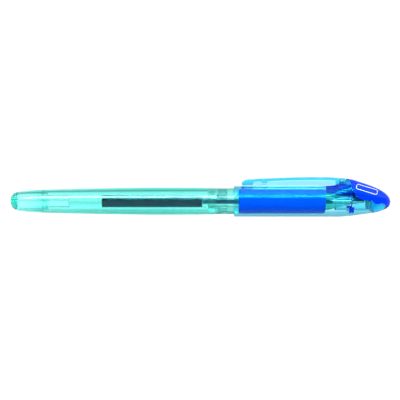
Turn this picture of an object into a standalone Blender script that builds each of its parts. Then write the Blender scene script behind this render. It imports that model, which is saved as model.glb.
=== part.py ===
"""Capped gel pen, lying on its cap with the clip on top.

The pen's axis runs along +X: the tail plug is at the -X end and the cap's crown is at the +X end.
Lengths below are in millimetres from the pen's middle, and heights are from the pen's axis.
"""

import math

import bmesh
import bpy
from mathutils import Matrix, Vector

MM = 0.001
SIDES = 32
REFILL_SIDES = 24

PEN_LENGTH = 150.0
TAIL_END = -PEN_LENGTH / 2
CROWN_END = PEN_LENGTH / 2
CAP_RADIUS = 6.14
AXIS_HEIGHT = CAP_RADIUS * math.cos(math.pi / SIDES)
PRESS_GAP = 0.05
RUNNING_GAP = 0.1

# Barrel and tail plug
BARREL_REAR = -62.2
BARREL_FRONT = 6.0
BARREL_TAIL_RADIUS = 4.65
BARREL_BELLY_RADIUS = 5.44
BARREL_FRONT_RADIUS = 5.3
BORE_TAIL_RADIUS = 3.6
BORE_FRONT_RADIUS = 4.05
PLUG_WALL = 1.15
SPIGOT_LENGTH = 1.8
VENT_RADIUS = 0.5
TAIL_FLAT_RADIUS = 1.8

# Screw thread between the barrel and the grip section
THREAD_PITCH = 0.6
THREAD_CORE_RADIUS = 3.95
THREAD_CREST_RADIUS = 4.28
THREAD_REAR = 2.8

# Grip section, its rubber sleeve and its nose
COLLAR_REAR = BARREL_FRONT + PRESS_GAP
COLLAR_RADIUS = 5.25
GROOVE_COUNT = 7
GROOVE_PITCH = 0.6
GROOVE_DEPTH = 0.22
GROOVE_HALF_WIDTH = 0.19
FIRST_GROOVE = 6.7
CAP_LIP = 13.1
SEAT_RADIUS = 5.05
GRIP_REAR = 14.9
GRIP_FRONT = 49.1
GRIP_RADIUS = 4.93
CORE_RADIUS = 3.9
NOSE_END = 59.0
NOSE_SOCKET_REAR = 44.0
NOSE_SOCKET_RADIUS = 2.75
NECK_BORE_RADIUS = 1.75

# Refill
TUBE_REAR = -61.3
TUBE_FRONT = 2.2
TUBE_RADIUS = 2.45
TUBE_BORE_RADIUS = 2.1
GREASE_REAR = -52.2
INK_REAR = -39.0
HOLDER_REAR = 0.6
HOLDER_FRONT = 56.9
NECK_RADIUS = 1.6
NECK_INK_RADIUS = 0.95
TIP_SHANK_REAR = 52.0
TIP_BODY_REAR = 57.0
TIP_RADIUS = 1.15
BALL_RADIUS = 0.35
BALL_CENTRE = 64.25
SOCKET_RADIUS = 0.4

# Cap
CAP_BORE_RADIUS = 5.15
CAP_BORE_END = 52.9
CAP_CAVITY_END = 67.5
INNER_CAP_RADIUS = 3.5
INNER_CAP_BORE_RADIUS = 3.0
INNER_CAP_FLANGE_RADIUS = 3.9
INNER_CAP_MOUTH = 52.95
SEAL_REAR = 65.1
SEAL_RADIUS = INNER_CAP_BORE_RADIUS - PRESS_GAP
CROWN_START = 58.7
WINDOW_START = 58.2
WINDOW_END = 60.2
WINDOW_TOP = -1.9
WINDOW_BOTTOM = -4.5
WINDOW_NEAR = 2.8
WINDOW_FAR = 6.5
TONGUE_REAR = 49.4
TONGUE_FRONT = 61.5
TONGUE_RADII = (3.72, 4.68)
TONGUE_ANGLES = (64, 116)
LEG_REAR = 58.95
LEG_FRONT = 59.55
LEG_RADII = (4.05, 4.6)
LEG_ANGLES = (-48, 228)
LUG_RADII = (4.3, 5.75)
RIGHT_LUG_ANGLES = (-49, -31)
LEFT_LUG_ANGLES = (211, 229)
INNER_CAP_END_WALL = 0.6
INNER_CAP_FLANGE = 1.0

# Clip
CLIP_HALF_WIDTH = 2.35
CLIP_WALL = 0.9
CLIP_BOTTOM = 6.22
CLIP_FREE_END = 16.15
CLIP_ROOT = 54.8
CLIP_ROOT_TOP = 9.2
CLIP_MIDDLE_TOP = 9.5
CLIP_TIP_TOP = 8.6
CLIP_ROOT_GAP = 0.2
CLIP_ROOM_HALF_WIDTH = 2.5
CLIP_TIP_REACH = 2.5
CLIP_TIP_RISE = 1.7
CLIP_TIP_CORNER = 0.6
CLIP_EDGE = 0.45

# Cutters reach past the pen's surface by at least this far from the axis
CUTTER_REACH = 12.0

CYAN_CLEAR = ((0.36, 0.85, 0.82), 0.12)
CAP_CLEAR = ((0.2, 0.72, 0.9), 0.12)
RUBBER_BLUE = ((0.0, 0.08, 0.85), 0.45)
CROWN_BLUE = ((0.0, 0.04, 0.9), 0.25)
INK_DARK = ((0.0, 0.02, 0.08), 0.2)
GREASE_CLEAR = ((0.7, 0.9, 0.85), 0.2)
TUBE_CLEAR = ((0.8, 0.93, 0.92), 0.2)
SEAL_GREY = ((0.45, 0.6, 0.68), 0.5)
STEEL = ((0.62, 0.62, 0.6), 0.25)


def make_collection(name):
    collection = bpy.data.collections.new(name)
    bpy.context.scene.collection.children.link(collection)
    return collection


def make_material(name, finish, metallic=0.0):
    colour, roughness = finish
    material = bpy.data.materials.new(name)
    material.use_nodes = True
    shader = material.node_tree.nodes["Principled BSDF"]
    shader.inputs["Base Color"].default_value = (*colour, 1.0)
    shader.inputs["Roughness"].default_value = roughness
    shader.inputs["Metallic"].default_value = metallic
    return material


def shade_round(mesh):
    mesh.shade_smooth()
    mesh.set_sharp_from_angle(angle=math.radians(30))


def add_object(name, mesh, collection, axis, material=None):
    """Link a mesh whose origin lies on the pen's axis, at the pen's middle."""
    body = bpy.data.objects.new(name, mesh)
    collection.objects.link(body)
    body.parent = axis
    if material:
        mesh.materials.append(material)
    return body


def mark_cutter(body):
    body.hide_render = True
    body.display_type = "WIRE"


def turned(name, profile, collection, axis, material=None, sides=SIDES):
    """Turn (x, radius) points about the pen's axis.

    The points run back along the outside and then forward along the inside. The first one lies
    half a step from the bottom, so one facet of every turned piece faces straight down.
    """
    half_step = math.pi / sides
    points = [
        (x * MM, r * math.sin(half_step) * MM, -r * math.cos(half_step) * MM) for x, r in profile
    ]
    solid_on_axis = profile[0][1] == 0 and profile[-1][1] == 0
    edge_count = len(points) - 1 if solid_on_axis else len(points)
    edges = [(i, (i + 1) % len(points)) for i in range(edge_count)]
    mesh = bpy.data.meshes.new(name)
    mesh.from_pydata(points, edges, [])
    body = add_object(name, mesh, collection, axis, material)
    screw = body.modifiers.new("turn", "SCREW")
    screw.axis = "X"
    screw.steps = sides
    screw.render_steps = sides
    screw.use_merge_vertices = True
    screw.merge_threshold = 0.00001
    screw.use_smooth_shade = True
    return body


def tube(name, rear, front, radius, bore, collection, axis, material=None, sides=SIDES):
    profile = [(front, radius), (rear, radius), (rear, bore), (front, bore)]
    return turned(name, profile, collection, axis, material, sides)


def rod(name, rear, front, radius, collection, axis, material=None, sides=SIDES):
    profile = [(front, 0), (front, radius), (rear, radius), (rear, 0)]
    return turned(name, profile, collection, axis, material, sides)


def boolean(body, tool, operation):
    step = body.modifiers.new(operation.lower(), "BOOLEAN")
    step.operation = operation
    step.solver = "EXACT"
    step.object = tool
    mark_cutter(tool)


def plate(name, outline, half_width, collection, axis, material=None):
    """A flat (x, height) outline, as thick as two half widths across the pen."""
    curve = bpy.data.curves.new(name, "CURVE")
    curve.dimensions = "2D"
    curve.fill_mode = "BOTH"
    curve.extrude = half_width * MM
    spline = curve.splines.new("POLY")
    spline.points.add(len(outline) - 1)
    for point, (x, height) in zip(spline.points, outline):
        point.co = (x * MM, height * MM, 0, 1)
    spline.use_cyclic_u = True
    drawn = bpy.data.objects.new(name, curve)
    drawn.rotation_euler.x = math.radians(90)
    collection.objects.link(drawn)
    bpy.context.view_layer.update()
    graph = bpy.context.evaluated_depsgraph_get()
    mesh = bpy.data.meshes.new_from_object(drawn.evaluated_get(graph))
    mesh.transform(drawn.matrix_world)
    bpy.data.objects.remove(drawn)
    shape = bmesh.new()
    shape.from_mesh(mesh)
    bmesh.ops.remove_doubles(shape, verts=shape.verts, dist=0.00001)
    bmesh.ops.recalc_face_normals(shape, faces=shape.faces)
    shape.to_mesh(mesh)
    shape.free()
    mesh.name = name
    shade_round(mesh)
    return add_object(name, mesh, collection, axis, material)


def loft(name, rings, collection, axis, material=None):
    """Join rings of points, first to last, and close both ends with a flat face."""
    shape = bmesh.new()
    rows = [[shape.verts.new(Vector(point) * MM) for point in ring] for ring in rings]
    for near, far in zip(rows, rows[1:]):
        for i in range(len(near)):
            j = (i + 1) % len(near)
            shape.faces.new((near[i], near[j], far[j], far[i]))
    shape.faces.new(rows[0][::-1])
    shape.faces.new(rows[-1])
    bmesh.ops.recalc_face_normals(shape, faces=shape.faces)
    mesh = bpy.data.meshes.new(name)
    shape.to_mesh(mesh)
    shape.free()
    shade_round(mesh)
    return add_object(name, mesh, collection, axis, material)


def soften(body, width, segments=2):
    bevel = body.modifiers.new("rounded_edges", "BEVEL")
    bevel.width = width * MM
    bevel.segments = segments
    bevel.limit_method = "ANGLE"
    bevel.angle_limit = math.radians(40)


def helical_ridge(name, rear, front, foot, crest, half_widths, collection, axis):
    """A right-hand ridge of trapezoid section, wound round the pen's axis at the thread's pitch."""
    steps = round((front - rear) / THREAD_PITCH * SIDES)
    foot_half, crest_half = half_widths
    rings = []
    for i in range(steps + 1):
        turn = 2 * math.pi * (i + 0.5) / SIDES
        x = rear + THREAD_PITCH * i / SIDES
        corners = (
            (x - foot_half, foot),
            (x + foot_half, foot),
            (x + crest_half, crest),
            (x - crest_half, crest),
        )
        rings.append([(cx, r * math.sin(turn), -r * math.cos(turn)) for cx, r in corners])
    return loft(name, rings, collection, axis)


def blend(low, high, share):
    """Ease from low to high as share goes from 0 to 1."""
    t = min(max(share, 0), 1)
    return low + (high - low) * t * t * (3 - 2 * t)


def along(points, x):
    """Read a line of (x, value) points at x."""
    for (x0, v0), (x1, v1) in zip(points, points[1:]):
        if x <= x1:
            return v0 + (v1 - v0) * (x - x0) / (x1 - x0)
    return points[-1][1]


CAP_TOP_LINE = (
    (49.0, CAP_RADIUS),
    (52.0, 6.7),
    (55.5, 7.9),
    (58.7, 8.85),
    (63.0, 7.7),
    (67.0, 6.35),
    (70.5, 4.85),
    (73.0, 3.3),
    (74.3, 1.95),
    (74.8, 1.1),
    (CROWN_END, 0.5),
)
CAP_BOTTOM_LINE = (
    (49.0, -CAP_RADIUS),
    (54.0, -CAP_RADIUS),
    (58.7, -5.9),
    (63.0, -5.35),
    (67.0, -4.85),
    (70.5, -4.2),
    (73.0, -3.2),
    (74.3, -2.3),
    (74.8, -1.6),
    (CROWN_END, -1.0),
)
CAP_STATIONS = (50.5, 52, 54, 55.5, 57, 58.7, 60.5, 63, 65, 67, 69, 70.5, 72, 73, 73.8, 74.3, 74.8)
CROWN_LENGTH = CROWN_END - CAP_BORE_END


def cap_half_width(x):
    """The nose seen from above: full width at the end of the bore, then a blunt rounded end."""
    share = max(0.0, (x - CAP_BORE_END) / CROWN_LENGTH)
    return CAP_RADIUS * math.sqrt(max(0.014, 1 - share**2.6))


def nose_ring(x):
    """One section of the cap's nose: half an ellipse below and a fuller, taller half above."""
    half_width = cap_half_width(x)
    top = along(CAP_TOP_LINE, x)
    bottom = along(CAP_BOTTOM_LINE, x)
    middle = blend(0, (top + bottom) / 2, (x - 72) / 3)
    fullness = 2 + 0.4 * blend(0, 1, (x - 49) / 9) * blend(1, 0, (x - 62) / 12)
    ring = []
    for i in range(SIDES):
        turn = 2 * math.pi * (i + 0.5) / SIDES
        across = math.sin(turn)
        up = -math.cos(turn)
        if up < 0:
            y = half_width * across
            z = middle + (middle - bottom) * up
        else:
            y = half_width * math.copysign(abs(across) ** (2 / fullness), across)
            z = middle + (top - middle) * up ** (2 / fullness)
        ring.append((x, y, z))
    return ring


def round_ring(x, radius):
    turns = [2 * math.pi * (i + 0.5) / SIDES for i in range(SIDES)]
    return [(x, radius * math.sin(turn), -radius * math.cos(turn)) for turn in turns]


def nose_rings(start):
    stations = [x for x in CAP_STATIONS if x >= start]
    return [nose_ring(x) for x in (*stations, CROWN_END)]


# The line between the clear nose and the blue crown, from the clip's root to the pen's end.
CROWN_SEAM = (
    (58.7, 8.0),
    (59.1, 6.4),
    (59.8, 4.4),
    (60.8, 2.4),
    (62.2, 1.1),
    (64.0, 0.6),
    (67.3, 0.4),
    (68.2, -0.85),
    (69.3, -1.3),
    (71.2, -0.8),
    (72.6, -1.3),
    (73.6, -2.3),
)
SEAM_BEYOND = CROWN_END + 2


def crown_outline(grow):
    """Everything above the seam, moved out over the seam by grow."""
    seam = [(x - grow, height - grow) for x, height in CROWN_SEAM]
    first_x = seam[0][0]
    last_x, last_height = seam[-1]
    return [
        (first_x, CUTTER_REACH),
        *seam,
        (SEAM_BEYOND, last_height - (SEAM_BEYOND - last_x)),
        (SEAM_BEYOND, CUTTER_REACH),
    ]


def ring_sector(name, rear, front, radii, angles, collection, axis):
    """A piece of a ring: radii from and to, angles in degrees up from the +Y side."""
    inner, outer = radii
    first, last = (math.radians(a) for a in angles)
    steps = max(2, round((last - first) * SIDES / (2 * math.pi)))
    rings = []
    for i in range(steps + 1):
        turn = first + (last - first) * i / steps
        corners = ((rear, inner), (front, inner), (front, outer), (rear, outer))
        rings.append([(x, r * math.cos(turn), r * math.sin(turn)) for x, r in corners])
    return loft(name, rings, collection, axis)


def box(name, low, high, collection, axis):
    bpy.ops.mesh.primitive_cube_add(size=1)
    body = bpy.context.active_object
    body.name = name
    for owner in list(body.users_collection):
        owner.objects.unlink(body)
    collection.objects.link(body)
    body.parent = axis
    low, high = Vector(low) * MM, Vector(high) * MM
    body.location = (low + high) / 2
    body.scale = high - low
    return body


def build_barrel(parts, cutters, axis, material):
    outer = [
        (BARREL_FRONT, BARREL_FRONT_RADIUS - 0.08),
        (BARREL_FRONT - 0.15, BARREL_FRONT_RADIUS),
        (-6.0, BARREL_BELLY_RADIUS - 0.04),
        (-17.0, BARREL_BELLY_RADIUS),
        (-28.0, BARREL_BELLY_RADIUS - 0.1),
        (-40.0, 5.15),
        (-51.0, 4.93),
        (BARREL_REAR, BARREL_TAIL_RADIUS),
    ]
    inner = [
        (BARREL_REAR, BORE_TAIL_RADIUS),
        (-40.0, 3.85),
        (-17.0, 4.0),
        (THREAD_REAR - 0.4, BORE_FRONT_RADIUS),
        (BARREL_FRONT, BORE_FRONT_RADIUS),
    ]
    barrel = turned("barrel", outer + inner, parts, axis, material)
    groove = helical_ridge(
        "barrel_thread_cutter",
        THREAD_REAR - 0.1,
        BARREL_FRONT + 0.5,
        THREAD_CORE_RADIUS - 0.1,
        THREAD_CREST_RADIUS + 0.14,
        (0.26, 0.12),
        cutters,
        axis,
    )
    boolean(barrel, groove, "DIFFERENCE")


def build_tail_plug(parts, axis, material):
    spigot_front = BARREL_REAR + SPIGOT_LENGTH
    spigot_radius = BORE_TAIL_RADIUS - PRESS_GAP
    outside = [
        (spigot_front, spigot_radius - 0.15),
        (spigot_front - 0.2, spigot_radius),
        (BARREL_REAR - PRESS_GAP, spigot_radius),
        (BARREL_REAR - PRESS_GAP, BARREL_TAIL_RADIUS - 0.03),
        (-69.0, 4.15),
        (-71.8, 3.85),
        (-73.3, 3.4),
        (-74.3, 2.8),
        (TAIL_END, TAIL_FLAT_RADIUS),
        (TAIL_END, VENT_RADIUS),
    ]
    inside = [
        (-72.7, VENT_RADIUS),
        (-72.7, 2.3),
        (-72.3, 2.75),
        (-71.2, 3.0),
        (-64.0, 4.45 - PLUG_WALL),
        (-63.0, spigot_radius - 0.6),
        (spigot_front, spigot_radius - 0.6),
    ]
    turned("tail_plug", outside + inside, parts, axis, material)


def build_front_section(parts, cutters, axis, material):
    grooves = []
    for i in reversed(range(GROOVE_COUNT)):
        middle = FIRST_GROOVE + GROOVE_PITCH * i
        grooves += [
            (middle + GROOVE_HALF_WIDTH, COLLAR_RADIUS),
            (middle, COLLAR_RADIUS - GROOVE_DEPTH),
            (middle - GROOVE_HALF_WIDTH, COLLAR_RADIUS),
        ]
    outside = [
        (GRIP_FRONT, CORE_RADIUS - 0.15),
        (GRIP_FRONT - 0.2, CORE_RADIUS),
        (GRIP_REAR, CORE_RADIUS),
        (GRIP_REAR, SEAT_RADIUS),
        (CAP_LIP - PRESS_GAP, SEAT_RADIUS),
        (CAP_LIP - PRESS_GAP, COLLAR_RADIUS),
        *grooves,
        (COLLAR_REAR, COLLAR_RADIUS),
        (COLLAR_REAR, THREAD_CORE_RADIUS),
        (THREAD_REAR + 0.2, THREAD_CORE_RADIUS),
        (THREAD_REAR, THREAD_CORE_RADIUS - 0.2),
    ]
    inside = [
        (THREAD_REAR, NECK_BORE_RADIUS),
        (NOSE_SOCKET_REAR, NECK_BORE_RADIUS),
        (NOSE_SOCKET_REAR, NOSE_SOCKET_RADIUS),
        (GRIP_FRONT, NOSE_SOCKET_RADIUS),
    ]
    section = turned("front_section", outside + inside, parts, axis, material)
    ridge = helical_ridge(
        "section_thread",
        THREAD_REAR + 0.5,
        BARREL_FRONT - 0.4,
        THREAD_CORE_RADIUS - 0.2,
        THREAD_CREST_RADIUS,
        (0.21, 0.06),
        cutters,
        axis,
    )
    boolean(section, ridge, "UNION")


def build_grip(parts, axis, material):
    inner = CORE_RADIUS + PRESS_GAP
    profile = [
        (GRIP_FRONT, 4.25),
        (GRIP_FRONT - 0.3, 4.65),
        (GRIP_FRONT - 1.0, GRIP_RADIUS),
        (GRIP_REAR + 0.5, GRIP_RADIUS),
        (GRIP_REAR + PRESS_GAP, GRIP_RADIUS - 0.25),
        (GRIP_REAR + PRESS_GAP, inner),
        (GRIP_FRONT, inner),
    ]
    turned("rubber_grip", profile, parts, axis, material)


def build_nose_cone(parts, axis, material):
    spigot = NOSE_SOCKET_RADIUS - PRESS_GAP
    profile = [
        (NOSE_END, TIP_RADIUS + RUNNING_GAP + 0.25),
        (NOSE_END - 0.3, 1.62),
        (56.6, 2.0),
        (54.5, 2.4),
        (52.8, 2.8),
        (51.2, 3.25),
        (50.0, 3.5),
        (GRIP_FRONT + PRESS_GAP, 3.6),
        (GRIP_FRONT + PRESS_GAP, spigot),
        (NOSE_SOCKET_REAR + RUNNING_GAP, spigot),
        (NOSE_SOCKET_REAR + RUNNING_GAP, NECK_BORE_RADIUS),
        (HOLDER_FRONT + PRESS_GAP, NECK_BORE_RADIUS),
        (HOLDER_FRONT + PRESS_GAP, TIP_RADIUS + RUNNING_GAP),
        (NOSE_END, TIP_RADIUS + RUNNING_GAP),
    ]
    turned("nose_cone", profile, parts, axis, material)


def build_refill(parts, axis, looks):
    fill_radius = TUBE_BORE_RADIUS - PRESS_GAP
    tube(
        "reservoir_tube",
        TUBE_REAR,
        TUBE_FRONT,
        TUBE_RADIUS,
        TUBE_BORE_RADIUS,
        parts,
        axis,
        looks["tube"],
        REFILL_SIDES,
    )
    grease_front = INK_REAR - PRESS_GAP
    rod(
        "grease_follower",
        GREASE_REAR,
        grease_front,
        fill_radius,
        parts,
        axis,
        looks["grease"],
        REFILL_SIDES,
    )
    ink_front = HOLDER_REAR - PRESS_GAP
    rod("ink_column", INK_REAR, ink_front, fill_radius, parts, axis, looks["ink"], REFILL_SIDES)
    neck_bore = NECK_INK_RADIUS + PRESS_GAP
    flange_rear = TUBE_FRONT + PRESS_GAP
    flange_front = THREAD_REAR - PRESS_GAP
    holder = [
        (HOLDER_FRONT, NECK_RADIUS - 0.15),
        (HOLDER_FRONT - 0.3, NECK_RADIUS),
        (flange_front, NECK_RADIUS),
        (flange_front, TUBE_RADIUS),
        (flange_rear, TUBE_RADIUS),
        (flange_rear, fill_radius),
        (HOLDER_REAR, fill_radius),
        (HOLDER_REAR, neck_bore),
        (HOLDER_FRONT, neck_bore),
    ]
    turned("tip_holder", holder, parts, axis, looks["tube"], REFILL_SIDES)
    rod(
        "feed_ink",
        HOLDER_REAR,
        TIP_SHANK_REAR - RUNNING_GAP,
        NECK_INK_RADIUS,
        parts,
        axis,
        looks["ink"],
        REFILL_SIDES,
    )


def build_point(parts, axis, material):
    """The stainless point, whose rim curls over the ball, and the ball."""
    socket = []
    for offset in (-0.34, -0.2, 0.0, 0.1):
        socket.append((BALL_CENTRE + offset, math.sqrt(SOCKET_RADIUS**2 - offset**2)))
    rim = BALL_CENTRE + 0.17
    profile = [
        (rim, 0.42),
        (BALL_CENTRE - 0.15, 0.56),
        (61.4, 0.98),
        (60.2, TIP_RADIUS),
        (TIP_BODY_REAR, TIP_RADIUS),
        (TIP_BODY_REAR, NECK_INK_RADIUS),
        (TIP_SHANK_REAR, NECK_INK_RADIUS),
        (TIP_SHANK_REAR, 0.5),
        (62.0, 0.5),
        (62.4, 0.2),
        *socket,
        (rim, 0.335),
    ]
    turned("tip_housing", profile, parts, axis, material, REFILL_SIDES)
    shape = bmesh.new()
    bmesh.ops.create_uvsphere(shape, u_segments=16, v_segments=10, radius=BALL_RADIUS * MM)
    mesh = bpy.data.meshes.new("writing_ball")
    shape.to_mesh(mesh)
    shape.free()
    ball = add_object("writing_ball", mesh, parts, axis, material)
    ball.location.x = BALL_CENTRE * MM


def build_cap_shell(parts, cutters, axis, material):
    outside = [
        round_ring(CAP_LIP, CAP_RADIUS - 0.2),
        round_ring(CAP_LIP + 0.2, CAP_RADIUS),
        round_ring(49.0, CAP_RADIUS),
        *nose_rings(49.5),
    ]
    inside = [
        round_ring(CAP_CAVITY_END, 3.95),
        round_ring(63.0, 4.3),
        round_ring(58.7, 4.85),
        round_ring(CAP_BORE_END, CAP_BORE_RADIUS),
        round_ring(CAP_LIP + 0.2, CAP_BORE_RADIUS),
        round_ring(CAP_LIP, CAP_BORE_RADIUS + 0.1),
    ]
    shell = loft("cap_shell", inside + outside, parts, axis, material)
    crown_room = plate("crown_room", crown_outline(PRESS_GAP), CUTTER_REACH, cutters, axis)
    clip_room_low = (45, -CLIP_ROOM_HALF_WIDTH, CAP_RADIUS - 0.02)
    clip_room_high = (CLIP_ROOT + CLIP_ROOT_GAP, CLIP_ROOM_HALF_WIDTH, CUTTER_REACH)
    clip_room = box("clip_room", clip_room_low, clip_room_high, cutters, axis)
    boolean(shell, crown_room, "DIFFERENCE")
    boolean(shell, clip_room, "DIFFERENCE")
    root_rear = CLIP_ROOT + CLIP_ROOT_GAP
    root_front = CROWN_START - PRESS_GAP
    root_foot = CAP_RADIUS - 0.6
    root = [
        (root_rear, root_foot),
        (root_front, root_foot),
        (root_front, along(CAP_TOP_LINE, CROWN_START)),
        (root_rear, CLIP_ROOT_TOP - 0.03),
    ]
    ridge = plate("clip_root", root, CLIP_HALF_WIDTH, cutters, axis)
    boolean(shell, ridge, "UNION")
    sides = (("left", WINDOW_NEAR, WINDOW_FAR), ("right", -WINDOW_FAR, -WINDOW_NEAR))
    for side, first_y, last_y in sides:
        low = (WINDOW_START, first_y, WINDOW_BOTTOM)
        high = (WINDOW_END, last_y, WINDOW_TOP)
        boolean(shell, box(f"window_{side}", low, high, cutters, axis), "DIFFERENCE")


def build_crown(parts, cutters, axis, material):
    """The blue crown: its tongue reaches back under the clip and two legs snap into the windows."""
    crown = loft("crown_insert", [*nose_rings(57)], parts, axis, material)
    region = plate("crown_region", crown_outline(0), CUTTER_REACH, cutters, axis)
    boolean(crown, region, "INTERSECT")
    hollow_front = CAP_CAVITY_END + RUNNING_GAP
    hollow_radius = INNER_CAP_FLANGE_RADIUS + RUNNING_GAP
    hollow = rod("crown_hollow", TONGUE_REAR, hollow_front, hollow_radius, cutters, axis)
    boolean(crown, hollow, "DIFFERENCE")
    tongue = ring_sector(
        "tongue", TONGUE_REAR, TONGUE_FRONT, TONGUE_RADII, TONGUE_ANGLES, cutters, axis
    )
    boolean(crown, tongue, "UNION")
    legs = ring_sector("snap_legs", LEG_REAR, LEG_FRONT, LEG_RADII, LEG_ANGLES, cutters, axis)
    boolean(crown, legs, "UNION")
    lug_front = WINDOW_END - RUNNING_GAP
    lug_rear = WINDOW_START + RUNNING_GAP
    for side, angles in (("right", RIGHT_LUG_ANGLES), ("left", LEFT_LUG_ANGLES)):
        lug = ring_sector(f"lug_{side}", lug_rear, lug_front, LUG_RADII, angles, cutters, axis)
        boolean(crown, lug, "UNION")


def build_inner_cap(parts, axis, looks):
    """A sleeve with a closed end, and the seal that the pen's point rests in."""
    seat = CAP_CAVITY_END - INNER_CAP_END_WALL
    profile = [
        (CAP_CAVITY_END - PRESS_GAP, 0),
        (CAP_CAVITY_END - PRESS_GAP, INNER_CAP_FLANGE_RADIUS),
        (CAP_CAVITY_END - INNER_CAP_FLANGE, INNER_CAP_FLANGE_RADIUS),
        (CAP_CAVITY_END - INNER_CAP_FLANGE, INNER_CAP_RADIUS),
        (INNER_CAP_MOUTH, INNER_CAP_RADIUS),
        (INNER_CAP_MOUTH, INNER_CAP_BORE_RADIUS + 0.2),
        (INNER_CAP_MOUTH + 0.5, INNER_CAP_BORE_RADIUS),
        (seat, INNER_CAP_BORE_RADIUS),
        (seat, 0),
    ]
    turned("inner_cap", profile, parts, axis, looks["cap"])
    rod("tip_seal", SEAL_REAR, seat - PRESS_GAP, SEAL_RADIUS, parts, axis, looks["seal"])


def clip_outline():
    """The clip from the side: a long low arch with a rounded free end."""
    top = [
        (CLIP_ROOT, CLIP_ROOT_TOP),
        (50.5, CLIP_MIDDLE_TOP - 0.05),
        (44.0, CLIP_MIDDLE_TOP),
        (37.0, 9.4),
        (29.0, 9.12),
        (23.0, 8.87),
    ]
    centre_x = CLIP_FREE_END + CLIP_TIP_REACH
    centre_height = CLIP_TIP_TOP - CLIP_TIP_RISE
    tip = []
    for i in range(6):
        turn = math.radians(18 * i)
        x = centre_x - CLIP_TIP_REACH * math.sin(turn)
        tip.append((x, centre_height + CLIP_TIP_RISE * math.cos(turn)))
    for i in (1, 2):
        turn = math.radians(45 * i)
        x = CLIP_FREE_END + CLIP_TIP_CORNER * (1 - math.cos(turn))
        tip.append((x, CLIP_BOTTOM + CLIP_TIP_CORNER * (1 - math.sin(turn))))
    return [*top, *tip, (CLIP_ROOT, CLIP_BOTTOM)]


def build_clip(parts, cutters, axis, material):
    """An inverted channel with a cross rib near its free end, hinged at the top of its root."""
    clip = plate("pocket_clip", clip_outline(), CLIP_HALF_WIDTH, parts, axis, material)
    hinge = Vector((CLIP_ROOT, 0, CLIP_ROOT_TOP)) * MM
    clip.data.transform(Matrix.Translation(-hinge))
    clip.location = hinge
    soften(clip, CLIP_EDGE, 3)
    room = CLIP_HALF_WIDTH - CLIP_WALL
    channel = [
        (20.6, 4),
        (20.6, 7.0),
        (21.2, 7.7),
        (29.0, 8.1),
        (44.0, 8.45),
        (53.2, 8.2),
        (53.2, 4),
    ]
    rib_low = (24.2, -room - RUNNING_GAP, 7.15)
    rib_high = (26.2, room + RUNNING_GAP, CLIP_MIDDLE_TOP)
    rib = box("clip_rib_room", rib_low, rib_high, cutters, axis)
    channel_cutter = plate("clip_channel", channel, room, cutters, axis)
    boolean(channel_cutter, rib, "DIFFERENCE")
    boolean(clip, channel_cutter, "DIFFERENCE")


def main():
    for body in list(bpy.data.objects):
        bpy.data.objects.remove(body)
    parts = make_collection("gel_pen")
    cutters = make_collection("cutters")
    axis = bpy.data.objects.new("pen_axis", None)
    axis.location.z = AXIS_HEIGHT * MM
    parts.objects.link(axis)
    looks = {
        "body": make_material("clear_cyan", CYAN_CLEAR),
        "cap": make_material("clear_blue", CAP_CLEAR),
        "rubber": make_material("blue_rubber", RUBBER_BLUE),
        "crown": make_material("opaque_blue", CROWN_BLUE),
        "ink": make_material("ink", INK_DARK),
        "grease": make_material("follower_grease", GREASE_CLEAR),
        "tube": make_material("refill_plastic", TUBE_CLEAR),
        "seal": make_material("seal_elastomer", SEAL_GREY),
        "steel": make_material("stainless", STEEL, metallic=1.0),
    }
    build_barrel(parts, cutters, axis, looks["body"])
    build_tail_plug(parts, axis, looks["body"])
    build_front_section(parts, cutters, axis, looks["body"])
    build_grip(parts, axis, looks["rubber"])
    build_nose_cone(parts, axis, looks["body"])
    build_refill(parts, axis, looks)
    build_point(parts, axis, looks["steel"])
    build_cap_shell(parts, cutters, axis, looks["cap"])
    build_crown(parts, cutters, axis, looks["crown"])
    build_inner_cap(parts, axis, looks)
    build_clip(parts, cutters, axis, looks["cap"])


main()
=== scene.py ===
"""Looks of the capped gel pen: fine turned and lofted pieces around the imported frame.

Lengths are in millimetres. x runs along the pen, and heights and radii are from the pen's axis.
"""

import math

import bmesh
import bpy
from mathutils import Matrix, Vector


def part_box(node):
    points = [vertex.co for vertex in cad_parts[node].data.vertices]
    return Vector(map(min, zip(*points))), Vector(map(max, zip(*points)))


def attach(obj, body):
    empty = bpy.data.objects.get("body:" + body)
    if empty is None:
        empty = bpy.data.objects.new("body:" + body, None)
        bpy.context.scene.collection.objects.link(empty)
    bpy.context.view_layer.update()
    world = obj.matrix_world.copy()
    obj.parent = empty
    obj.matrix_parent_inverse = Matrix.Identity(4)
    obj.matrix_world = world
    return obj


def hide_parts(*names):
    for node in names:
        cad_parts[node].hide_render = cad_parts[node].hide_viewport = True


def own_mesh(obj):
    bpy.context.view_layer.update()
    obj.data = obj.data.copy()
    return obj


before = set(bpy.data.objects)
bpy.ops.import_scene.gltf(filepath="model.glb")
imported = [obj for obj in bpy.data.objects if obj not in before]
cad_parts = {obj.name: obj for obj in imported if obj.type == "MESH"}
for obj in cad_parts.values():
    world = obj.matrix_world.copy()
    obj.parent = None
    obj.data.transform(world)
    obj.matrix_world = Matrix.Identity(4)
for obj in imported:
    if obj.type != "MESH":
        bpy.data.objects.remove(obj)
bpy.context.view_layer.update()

MM = 0.001

# Sides of the turned pieces
FINE_SIDES = 144
MIDDLE_SIDES = 96
BALL_SIDES = 32


def span(node):
    """A node's rear and front along the pen."""
    low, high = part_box(node)
    return low.x / MM, high.x / MM


def radius_of(node):
    """Half of a node's width across the pen."""
    low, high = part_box(node)
    return (high.y - low.y) / 2 / MM


AXIS_HEIGHT = (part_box("barrel")[0].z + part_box("barrel")[1].z) / 2 / MM

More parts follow.
